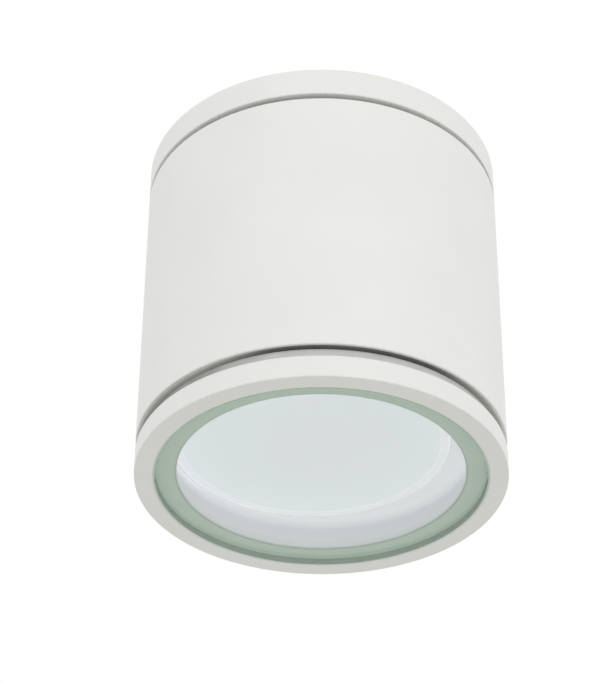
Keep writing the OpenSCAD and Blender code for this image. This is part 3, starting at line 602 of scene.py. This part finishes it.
def runTree(piece, tree, values):
    modifier = piece.modifiers.new(tree.name, "NODES")
    modifier.node_group = tree
    for item in tree.interface.items_tree:
        if item.item_type == "SOCKET" and item.in_out == "INPUT" and item.name in values:
            modifier[item.identifier] = values[item.name]
    bakeModifiers(piece)


def faceOutwards(piece):
    work = bmesh.new()
    work.from_mesh(piece.data)
    bmesh.ops.recalc_face_normals(work, faces=work.faces)
    work.to_mesh(piece.data)
    work.free()


def roundedOutline(corners, arcSteps, guard=0.35):
    # corners are (radius, level, fillet), counter-clockwise round the material, with a 1 added where painted
    # shade lies in a seam or groove; each point gets its edge wear and its share of painted shade
    points = []
    for i, (x, y, fillet, *recessShade) in enumerate(corners):
        recessShade = float(recessShade[0]) if recessShade else 0.0
        here = Vector((x, y))
        back = Vector(corners[i - 1][:2]) - here
        ahead = Vector(corners[(i + 1) % len(corners)][:2]) - here
        if not fillet:
            points.append((x, y, 0.0, recessShade))
            continue
        half = back.angle(ahead) / 2
        reach = min(fillet / math.tan(half), 0.48 * back.length, 0.48 * ahead.length)
        radius = reach * math.tan(half)
        centre = here + (back.normalized() + ahead.normalized()).normalized() * (radius / math.sin(half))
        start = here + back.normalized() * reach - centre
        turn = start.angle_signed(here + ahead.normalized() * reach - centre)
        worn = 1.0 if ahead.x * back.y - ahead.y * back.x > 0 else 0.0
        if back.length > 3 * guard + reach:
            spot = here + back.normalized() * (reach + guard)
            points.append((spot.x, spot.y, 0.0, recessShade))
        for k in range(arcSteps + 1):
            spot = centre + Matrix.Rotation(-turn * k / arcSteps, 2) @ start
            points.append((spot.x, spot.y, worn, recessShade))
        if ahead.length > 3 * guard + reach:
            spot = here + ahead.normalized() * (reach + guard)
            points.append((spot.x, spot.y, 0.0, recessShade))
    return points


def outlineMesh(name, points, axisRadius=0.0):
    # edges of the outline in the XY plane, left open where it runs along the axis
    mesh = bpy.data.meshes.new(name)
    count = len(points)
    edges = [(i, (i + 1) % count) for i in range(count)
             if points[i][0] > 1e-9 or points[(i + 1) % count][0] > 1e-9]
    mesh.from_pydata([(p[0] * mm - axisRadius, -p[1] * mm, 0) for p in points], edges, [])
    # the fourth value of each point is its share of the coat's painted shade
    for index, label in ((2, "wear"), (3, "recessShade")):
        layer = mesh.attributes.new(label, "FLOAT", "POINT")
        layer.data.foreach_set("value", [p[index] for p in points])
    return mesh


axisRadius = 0.1 * mm         # of the circle that the outline is swept along


def turnPiece(name, corners, material, steps=192, arcSteps=5, shift=0.0):
    piece = meshObject(name, outlineMesh(name, roundedOutline(corners, arcSteps), axisRadius))
    runTree(piece, turningTree, {"Steps": steps, "Axis Radius": axisRadius, "Material": material})
    if shift:
        piece.data.transform(Matrix.Translation((shift * mm, 0, 0)))
    faceOutwards(piece)
    return piece


def threadPiece(name, section, values, material):
    points = [(x, y, 0.0, 0.0) for x, y in section]
    piece = meshObject(name, outlineMesh(name, points))
    sizes = {key: value * mm for key, value in values.items() if key in ("Pitch", "Radius", "Start")}
    counts = {key: values[key] for key in ("Turns", "Steps", "Lead")}
    runTree(piece, threadTree, {**sizes, **counts, "Material": material})
    faceOutwards(piece)
    return piece


past = 1                      # how far a cutter goes past the face that it enters by


def rod(radius, low, high, turn=Matrix.Identity(4), sides=48):
    # cutter or boss along its own Z, turned into place
    work = bmesh.new()
    place = turn @ Matrix.Translation((0, 0, (low + high) / 2 * mm))
    bmesh.ops.create_cone(work, cap_ends=True, segments=sides, radius1=radius * mm, radius2=radius * mm,
                          depth=(high - low) * mm, matrix=place)
    mesh = bpy.data.meshes.new("rod")
    work.to_mesh(mesh)
    work.free()
    return meshObject("rod", mesh)


def block(low, high, turn=Matrix.Identity(4), edge=0.0):
    work = bmesh.new()
    centre = (Vector(low) + Vector(high)) / 2 * mm
    size = (Vector(high) - Vector(low)) * mm
    place = turn @ Matrix.Translation(centre) @ Matrix.Diagonal(size).to_4x4()
    bmesh.ops.create_cube(work, size=1, matrix=place)
    if edge:
        bmesh.ops.bevel(work, geom=work.edges[:], offset=edge * mm, segments=3, profile=0.5, affect="EDGES")
    mesh = bpy.data.meshes.new("block")
    work.to_mesh(mesh)
    work.free()
    return meshObject("block", mesh)


def discard(sources):
    for source in sources:
        mesh = source.data
        bpy.data.objects.remove(source)
        bpy.data.meshes.remove(mesh)


def carve(piece, tools, operation):
    for tool in tools:
        modifier = piece.modifiers.new("carve", "BOOLEAN")
        modifier.object = tool
        modifier.operation = operation
        modifier.solver = "EXACT"
    bakeModifiers(piece)
    discard(tools)
    for face in piece.data.polygons:
        face.use_smooth = True
    piece.data.set_sharp_from_angle(angle=sharpAngle)


def merge(piece, others):
    # one object from several shells that belong to one solid
    work = bmesh.new()
    for source in [piece, *others]:
        work.from_mesh(source.data)
    work.to_mesh(piece.data)
    work.free()
    discard(others)


def settle(piece, body, slotName, *replaced):
    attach(piece, body)
    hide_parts(*replaced)


def turnZ(degrees):
    return Matrix.Rotation(math.radians(degrees), 4, "Z")


# Body: a drawn tube with a thicker threaded mouth, two inner lugs and two screw holes near its upper end
body = dict(wall=2.5, mouthWall=3.5, mouthLength=14, edge=0.3, lugWidth=13, lugHeight=12, lugReach=9.5,
            lugRoot=0.6, lugHole=2.05, lugHoleX=42, lugHoleDepth=9, screwDrop=8, screwHole=2.05,
            screwAngle=35)
thread = dict(pitch=2.5, turns=3, bodyShort=0.5, depth=1.0, sink=0.3, gap=0.3, start=1.8, root=0.9,
              crest=0.35, steps=96, bodyLead=0.06, ringLead=0.05)


def buildBody():
    bore = outerRadius - body["wall"]
    mouth = outerRadius - body["mouthWall"]
    mouthTop = bodyLow + body["mouthLength"]
    edge = body["edge"]
    shoulder = mouthTop + body["mouthWall"] - body["wall"]
    # the corners marked 1 get painted shade: the inner edges at both ends of the tube
    corners = [(mouth, bodyLow, 0.5, 1), (outerRadius, bodyLow, edge), (outerRadius, bodyHigh, edge),
               (bore, bodyHigh, 0.5, 1), (bore, shoulder, 0.15), (mouth, mouthTop, 0.15)]
    piece = turnPiece("bodyShell", corners, whiteCoat)
    lugs, holes = [], []
    wide = body["lugWidth"] / 2
    for angle in (0, 180):
        lugs.append(block((bore - body["lugReach"], -wide, strapTop),
                          (bore + body["lugRoot"], wide, strapTop + body["lugHeight"]), turnZ(angle), 0.5))
        place = turnZ(angle) @ Matrix.Translation((body["lugHoleX"] * mm, 0, 0))
        holes.append(rod(body["lugHole"], strapTop - past, strapTop + body["lugHoleDepth"], place, 32))
    carve(piece, lugs, "UNION")
    lift = Matrix.Translation((0, 0, (bodyHigh - body["screwDrop"]) * mm))
    for side in (-1, 1):
        place = turnZ(90 + side * body["screwAngle"]) @ lift @ Matrix.Rotation(math.pi / 2, 4, "Y")
        holes.append(rod(body["screwHole"], bore - 2 * past, outerRadius + 2 * past, place))
    carve(piece, holes, "DIFFERENCE")
    crest = mouth - thread["depth"]
    section = [(thread["sink"], -thread["root"]), (thread["sink"], thread["root"]),
               (crest - mouth, thread["crest"]), (crest - mouth, -thread["crest"])]
    start = bodyLow + thread["start"] + thread["pitch"] / 2
    turns = thread["turns"] - thread["bodyShort"]
    values = {"Turns": turns, "Pitch": thread["pitch"], "Radius": mouth, "Start": start,
              "Steps": thread["steps"], "Lead": thread["bodyLead"]}
    merge(piece, [threadPiece("bodyThread", section, values, whiteCoat)])
    settle(piece, "housing", "white_paint", "body_shell")


buildBody()


# Ceiling base: rim with a recess for the foam, spigot with a seal groove, and a lip under the plate
base = dict(plate=3, lipWidth=6, lipHeight=2, spigotGap=0.3, spigotWall=2.8, spigotLength=12, seam=1.7,
            edge=0.3, foamIn=2.2, foamWidth=2.6, foamDepth=1.2, foamPlay=0.2, sealDrop=2.4, sealSize=1.2,
            sealDepth=1.0, sealPlay=0.05, lipHole=1.7, lipHoleRadius=41.4, lipHoleAngles=(30, 150, 270),
            fluteRadius=45.7, fluteWidth=6, fluteOver=3)


def buildBase():
    spigot = outerRadius - body["wall"] - base["spigotGap"]
    inner = spigot - base["spigotWall"]
    low = baseLow - base["seam"] - base["spigotLength"]
    seal = baseLow - base["seam"] - base["sealDrop"]
    half = base["sealSize"] / 2 + base["sealPlay"]
    groove = spigot - base["sealDepth"]
    foamOut = outerRadius - base["foamIn"] + base["foamPlay"]
    foamIn = foamOut - base["foamWidth"] - 2 * base["foamPlay"]
    lip = inner - base["lipWidth"]
    under = -base["plate"]
    lipLow = under - base["lipHeight"]
    recess = -base["foamDepth"]
    # the corners marked 1 get painted shade on the spigot, in the seam under the rim
    corners = [(inner, low, 0.2), (spigot, low, 0.6), (spigot, seal - half, 0.1), (groove, seal - half, 0.1),
               (groove, seal + half, 0.1), (spigot, seal + half, 0.1, 1), (spigot, baseLow, 0.1, 1),
               (outerRadius, baseLow, base["edge"]), (outerRadius, 0, base["edge"]), (foamOut, 0, 0.1),
               (foamOut, recess, 0.1), (foamIn, recess, 0.1), (foamIn, 0, 0.1), (inner, 0, 0.1),
               (inner, under, 0.05), (lip, under, 0.1), (lip, lipLow, 0.3), (inner, lipLow, 0.3)]
    piece = turnPiece("baseRing", corners, whiteCoat, arcSteps=4)
    tools = []
    top = baseLow - base["seam"] - body["screwDrop"] + base["fluteOver"]
    for side in (-1, 1):
        wide = base["fluteWidth"] / 2
        tools.append(block((base["fluteRadius"], -wide, low - past), (spigot + past, wide, top),
                           turnZ(90 + side * body["screwAngle"])))
    for angle in base["lipHoleAngles"]:
        place = turnZ(angle) @ Matrix.Translation((base["lipHoleRadius"] * mm, 0, 0))
        tools.append(rod(base["lipHole"], lipLow - past, under + past, place, 32))
    carve(piece, tools, "DIFFERENCE")
    settle(piece, "base", "white_paint", "base_ring")

    foamOut, foamIn = foamOut - base["foamPlay"], foamIn + base["foamPlay"]
    corners = [(foamIn, recess, 0.15), (foamOut, recess, 0.15), (foamOut, 0, 0.35), (foamIn, 0, 0.35)]
    settle(turnPiece("ceilingGasket", corners, greyFoam), "base", "foam", "ceiling_gasket")
    middle, thick = groove + half, base["sealSize"] / 2
    corners = [(middle + thick * math.cos(a * math.pi / 4), seal + thick * math.sin(a * math.pi / 4), 0.5)
               for a in range(8)]
    settle(turnPiece("spigotSeal", corners, blackRubber, arcSteps=2), "base", "black_rubber", "spigot_seal")


buildBase()


# Cable grommet: a rim on the ceiling side, a neck in the plate and a soft boot below
grommet = dict(bore=5.0, hole=10.0, play=0.05, rim=3.0, rimDepth=1.2, plate=3.0, barb=2.5, barbDepth=2,
               barbLead=0.7, bootStart=2.4, bootEnd=1.2, length=9.0)


def buildGrommet():
    bore, hole = grommet["bore"], grommet["hole"]
    plate, low, neck = -grommet["plate"], -grommet["length"], hole - grommet["play"]
    rim, rimLow, barb = hole + grommet["rim"], -grommet["rimDepth"], hole + grommet["barb"]
    barbLow = plate - grommet["barbDepth"]
    corners = [(bore, low, 0.3), (bore + grommet["bootEnd"], low, 0.4),
               (bore + grommet["bootStart"], barbLow, 0.5), (barb - grommet["barbLead"], barbLow, 0.4),
               (barb, plate, 0.2), (neck, plate, 0.1), (neck, rimLow, 0.1), (rim, rimLow, 0.2),
               (rim, 0, 0.4), (bore, 0, 0.6)]
    piece = turnPiece("cableGrommet", corners, blackRubber, 96, 4)
    settle(piece, "base", "black_rubber", "cable_grommet")


buildGrommet()
print("body and base made")


# Front ring: flat face, glass pocket, ledge, step in the groove and threaded neck
ring = dict(height=6.4, edge=0.3, faceWidth=5.05, pocketDepth=4.6, pocketEdge=0.25, ledgeWidth=6.25,
            ledgeHeight=2.0, stepIn=1.8, gasketIn=0.7, gasketHeight=0.3, gasketGap=0.05, gasketPlay=0.1,
            neckWall=2.6, neckOver=1.7,
            # painted shade in the groove: its darker colour, and the places in x where it ends and where it
            # is full
            paintedShade=(0.32, 0.317, 0.305), sideShadeFrom=-12, sideShadeFull=-30,
            ledgeLight=(0.74, 0.89, 1.0), ledgeGlow=0.1)


def buildFrontRing():
    mouth = outerRadius - body["mouthWall"]
    neck = mouth - thread["gap"] - thread["depth"]
    neckInner = neck - ring["neckWall"]
    pocket = outerRadius - ring["faceWidth"]
    clear = pocket - ring["ledgeWidth"]
    step = outerRadius - ring["stepIn"]
    floor = faceLevel + ring["pocketDepth"]
    ledge = floor + ring["ledgeHeight"]
    top = faceLevel + ring["height"]
    stepTop = bodyLow - ring["gasketHeight"] - 2 * ring["gasketGap"]
    neckTop = bodyLow + thread["start"] + thread["pitch"] * thread["turns"] + ring["neckOver"]
    # the corners marked 1 get painted shade on the step in the groove
    corners = [(clear, floor, 0.12), (pocket, floor, 0.08), (pocket, faceLevel, ring["pocketEdge"]),
               (outerRadius, faceLevel, ring["edge"]), (outerRadius, top, ring["edge"]), (step, top, 0.15, 1),
               (step, stepTop, 0.2, 1), (neck, stepTop, 0.15, 1), (neck, neckTop, 0.6),
               (neckInner, neckTop, 0.3), (neckInner, ledge, 0.3), (clear, ledge, 0.4)]
    # the ring's coat has its painted shade darker towards -x, and lamp light on the ledge wall
    ringCoat = makeCoat("ringPowderCoat", **coat, sideShade=(ring["paintedShade"], ring["sideShadeFrom"], ring["sideShadeFull"]),
                        lit=(ring["ledgeLight"], ring["ledgeGlow"], clear))
    piece = turnPiece("frontRing", corners, ringCoat)
    section = [(-thread["sink"], -thread["root"]), (thread["depth"], -thread["crest"]),
               (thread["depth"], thread["crest"]), (-thread["sink"], thread["root"])]
    values = {"Turns": float(thread["turns"]), "Pitch": thread["pitch"], "Radius": neck,
              "Start": bodyLow + thread["start"], "Steps": thread["steps"], "Lead": thread["ringLead"]}
    merge(piece, [threadPiece("ringThread", section, values, ringCoat)])
    settle(piece, "front", "white_paint", "front_ring")


buildFrontRing()


# Front gasket between the body and the ring
def buildGasket():
    inner = outerRadius - body["mouthWall"] + ring["gasketPlay"]
    high = bodyLow - ring["gasketGap"]
    low = high - ring["gasketHeight"]
    edge = outerRadius - ring["gasketIn"]
    corners = [(inner, low, 0.1), (edge, low, 0.12), (edge, high, 0.12), (inner, high, 0.1)]
    piece = turnPiece("frontGasket", corners, sideLitRubber, arcSteps=3)
    settle(piece, "gasket", "black_rubber", "front_gasket")


buildGasket()


# Glass with its bed and the seal around it
glass = dict(sink=0.2, thickness=4.0, rimGap=0.35, edge=0.12, bed=0.4, bedIn=0.2, gap=0.02, wetted=0.02,
             sealSink=0.18)


def buildGlass():
    pocket = outerRadius - ring["faceWidth"]
    radius = pocket - glass["rimGap"]
    low = faceLevel + glass["sink"]
    high = low + glass["thickness"]
    corners = [(0, low, 0), (radius, low, glass["edge"]), (radius, high, glass["edge"]), (0, high, 0)]
    settle(turnPiece("frontGlass", corners, clearGlass), "front", "clear_glass", "front_glass")
    inner = pocket - ring["ledgeWidth"] + glass["bedIn"]
    bedLow, bedHigh = high + glass["gap"], high + glass["bed"]  # a hair clear of the glass
    corners = [(inner, bedLow, 0.1), (radius, bedLow, 0.1), (radius, bedHigh, 0.05), (inner, bedHigh, 0.1)]
    bed = turnPiece("glassBed", corners, bedSilicone, arcSteps=3)
    settle(bed, "front", "grey_silicone", "glass_bed")
    near, far, sealLow = radius - glass["wetted"], pocket - glass["gap"], faceLevel + glass["sealSink"]
    corners = [(near, sealLow, 0.05), (far, sealLow, 0.05), (far, high, 0.05), (near, high, 0.05)]
    seal = turnPiece("glassRimSeal", corners, rimSilicone, arcSteps=3)
    settle(seal, "front", "grey_silicone", "glass_rim_seal")


buildGlass()
print("front ring and glass made")


# Lamp: shell with a rounded rim, and the frosted disc in it
lamp = dict(shell=1.6, rimWidth=2.9, rimRound=0.8, lensSink=0.1, lensThickness=1.6, lensPlay=0.2,
            lensGap=0.02, press=0.22, seat=1.6, seatTip=1.2, seatRoot=2.0, boardUp=9.4, shelf=2.4,
            shelfTip=1.5)


def buildLamp():
    rim = lampRim
    lensRadius = lampRadius - lamp["rimWidth"]
    lensHigh = rim + lamp["lensSink"] + lamp["lensThickness"]
    seat = lensRadius - lamp["seat"]
    cavity = lampRadius - lamp["shell"]
    board = rim + lamp["boardUp"]
    shelf = cavity - lamp["shelf"]
    shelfLow = board - lamp["shelfTip"]
    socket = lensRadius + lamp["lensPlay"]
    corners = [(seat, lensHigh, 0.05), (socket, lensHigh, 0.05), (socket, rim, 0.1),
               (lampRadius, rim, lamp["rimRound"]), (lampRadius, lampCapLow, 0.15),
               (cavity, lampCapLow, 0.15), (cavity, board, 0.1), (shelf, board, 0.1),
               (shelf, shelfLow, 0.2), (cavity, shelfLow - lamp["shelf"], 0.2),
               (cavity, lensHigh + lamp["seatRoot"], 0.2), (seat, lensHigh + lamp["seatTip"], 0.2)]
    shell = turnPiece("lampShell", corners, opalRim, arcSteps=7, shift=lampX)
    settle(shell, "lamp", "lamp_white", "lamp_shell")
    low, high = rim + lamp["lensSink"], lensHigh - lamp["lensGap"]
    edge = lensRadius + lamp["press"]              # pressed into the rim, so no light slips past it
    lens = turnPiece("lampLens", [(0, low, 0), (edge, low, 0.1), (edge, high, 0.1), (0, high, 0)],
                     diffuser, shift=lampX)
    settle(lens, "lamp", "lamp_diffuser", "lamp_lens")


buildLamp()
print("lamp made")


# Reflector: a white cup round the lamp with a collar on the holder; its flange and skirt line the neck
reflector = dict(gap=0.4, wall=0.8, room=0.5, collar=5, collarGap=0.02, holderIn=5.75, stepUp=0.6,
                 skirtUp=0.6, bend=1.4, overlap=6, cupIn=0.02)


def buildReflector():
    wall = reflector["wall"]
    inner = lampRadius + reflector["gap"]
    outer = inner + wall
    neck = outerRadius - body["mouthWall"] - thread["gap"] - thread["depth"]
    skirt = neck - ring["neckWall"] - reflector["room"]
    grip = lampRadius - reflector["holderIn"] + reflector["collarGap"]
    low = flangeLevel
    step = holderLow + reflector["stepUp"]
    top = step + reflector["collar"]
    bottom = faceLevel + ring["pocketDepth"] + ring["ledgeHeight"] + reflector["skirtUp"]
    hole = inner - reflector["overlap"]            # the flange is bored on the lamp's axis further down
    corners = [(skirt - wall, bottom, 0.2), (skirt, bottom, 0.2), (skirt, low + wall, 0.6),
               (hole, low + wall, 0), (hole, low, 0), (skirt - wall, low, reflector["bend"])]
    lining = turnPiece("lampReflector", corners, reflectorWhite, arcSteps=8)
    onAxis = Matrix.Translation((lampX * mm, 0, 0))
    bored = rod((inner + outer) / 2, low - 3 * past, low + 3 * past, onAxis, 192)
    carve(lining, [bored], "DIFFERENCE")
    start, shoulder = low + reflector["cupIn"], step + wall
    corners = [(inner, start, 0.25), (outer, start, 0), (outer, shoulder, 0.6), (grip + wall, shoulder, 0.15),
               (grip + wall, top, 0.2), (grip, top, 0.2), (grip, step, 0.1), (inner, step, 0.15)]
    carve(lining, [turnPiece("cup", corners, reflectorWhite, arcSteps=4, shift=lampX)], "UNION")
    settle(lining, "housing", "lamp_white", "lamp_reflector")


buildReflector()


# Inner wires, along the same routes as their solids
wires = dict(radius=1.1, sides=16, pinRadius=26.5, wayPitch=9, pushTop=65.5, wayMouth=19.7, wayUp=5,
             lugEnd=-26, earthY=-11, lugUp=2.1)


def supplyRoute(side):
    x, z, r = lampX, faceLevel + wires["pushTop"], wires["pinRadius"]
    mouth, pitch, level = wires["wayMouth"], wires["wayPitch"], strapTop + wires["wayUp"]
    return [(x, side * r, z), (x, side * r, z + 3.5), (x + 4, side * (r - 4), z + 8),
            (x + 9, side * (r + pitch) / 2, z + 6), (mouth - 10, side * (pitch + 1), (z + level) / 2 + 3),
            (mouth - 7, side * pitch, level + 1.2), (mouth - 3.5, side * pitch, level),
            (mouth, side * pitch, level)]


def earthRoute():
    end, y, z = wires["lugEnd"], wires["earthY"], strapTop + wires["lugUp"]
    mouth, level = wires["wayMouth"], strapTop + wires["wayUp"]
    return [(end, y, z), (end + 4, y, z), (end + 11, 0.9 * y, z + 5), (-4, 0.4 * y, z + 8),
            (6, -0.6, level + 5), (mouth - 7, 0, level + 1), (mouth - 3.5, 0, level), (mouth, 0, level)]


def smoothRoute(points, steps=8):
    path = []
    points = [Vector(p) for p in points]
    for i in range(len(points) - 1):
        b, c = points[i], points[i + 1]
        a = points[i - 1] if i else b * 2 - c
        d = points[i + 2] if i + 2 < len(points) else c * 2 - b
        for k in range(steps):
            t = k / steps
            path.append(0.5 * (b * 2 + (c - a) * t + (a * 2 - b * 5 + c * 4 - d) * t * t
                               + (b * 3 - a - c * 3 + d) * t * t * t))
    return path + [points[-1]]


def buildWire(name, route, material, slotName, node):
    points = smoothRoute(route)
    mesh = bpy.data.meshes.new(name)
    mesh.from_pydata([p * mm for p in points], [(i, i + 1) for i in range(len(points) - 1)], [])
    piece = meshObject(name, mesh)
    runTree(piece, wireTree, {"Radius": wires["radius"] * mm, "Sides": wires["sides"], "Material": material})
    faceOutwards(piece)
    settle(piece, "housing", slotName, node)


buildWire("liveWire", supplyRoute(1), brownWire, "brown_wire", "live_wire")
buildWire("neutralWire", supplyRoute(-1), blueWire, "blue_wire", "neutral_wire")
buildWire("earthWire", earthRoute(), stripedWire, "green_yellow_wire", "earth_wire")
print("wires made")


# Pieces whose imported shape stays: each only gets its finish
finishes = {
    zincSheet: ["mounting_plate", "lamp_bracket"],
    screwSteel: ["plate_screws", "base_earth_washer", "set_screws", "bracket_screws", "holder_screws",
                 "terminal_screws", "block_screw", "earth_lug", "earth_washer", "earth_nut"],
    brass: ["base_earth_screw", "holder_contacts", "terminal_tubes", "push_connectors", "earth_screw",
            "lamp_pins"],
    ivoryPlastic: ["lamp_holder"],
    milkyPlastic: ["terminal_block"],
    lampWhite: ["lamp_cap"],
    boardWhite: ["lamp_board"],
    phosphor: ["lamp_leds"],
    boardGreen: ["lamp_driver"],
}
for material, names in finishes.items():
    for name in names:
        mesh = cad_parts[name].data
        mesh.materials.clear()
        mesh.materials.append(material)
print("finishes given")
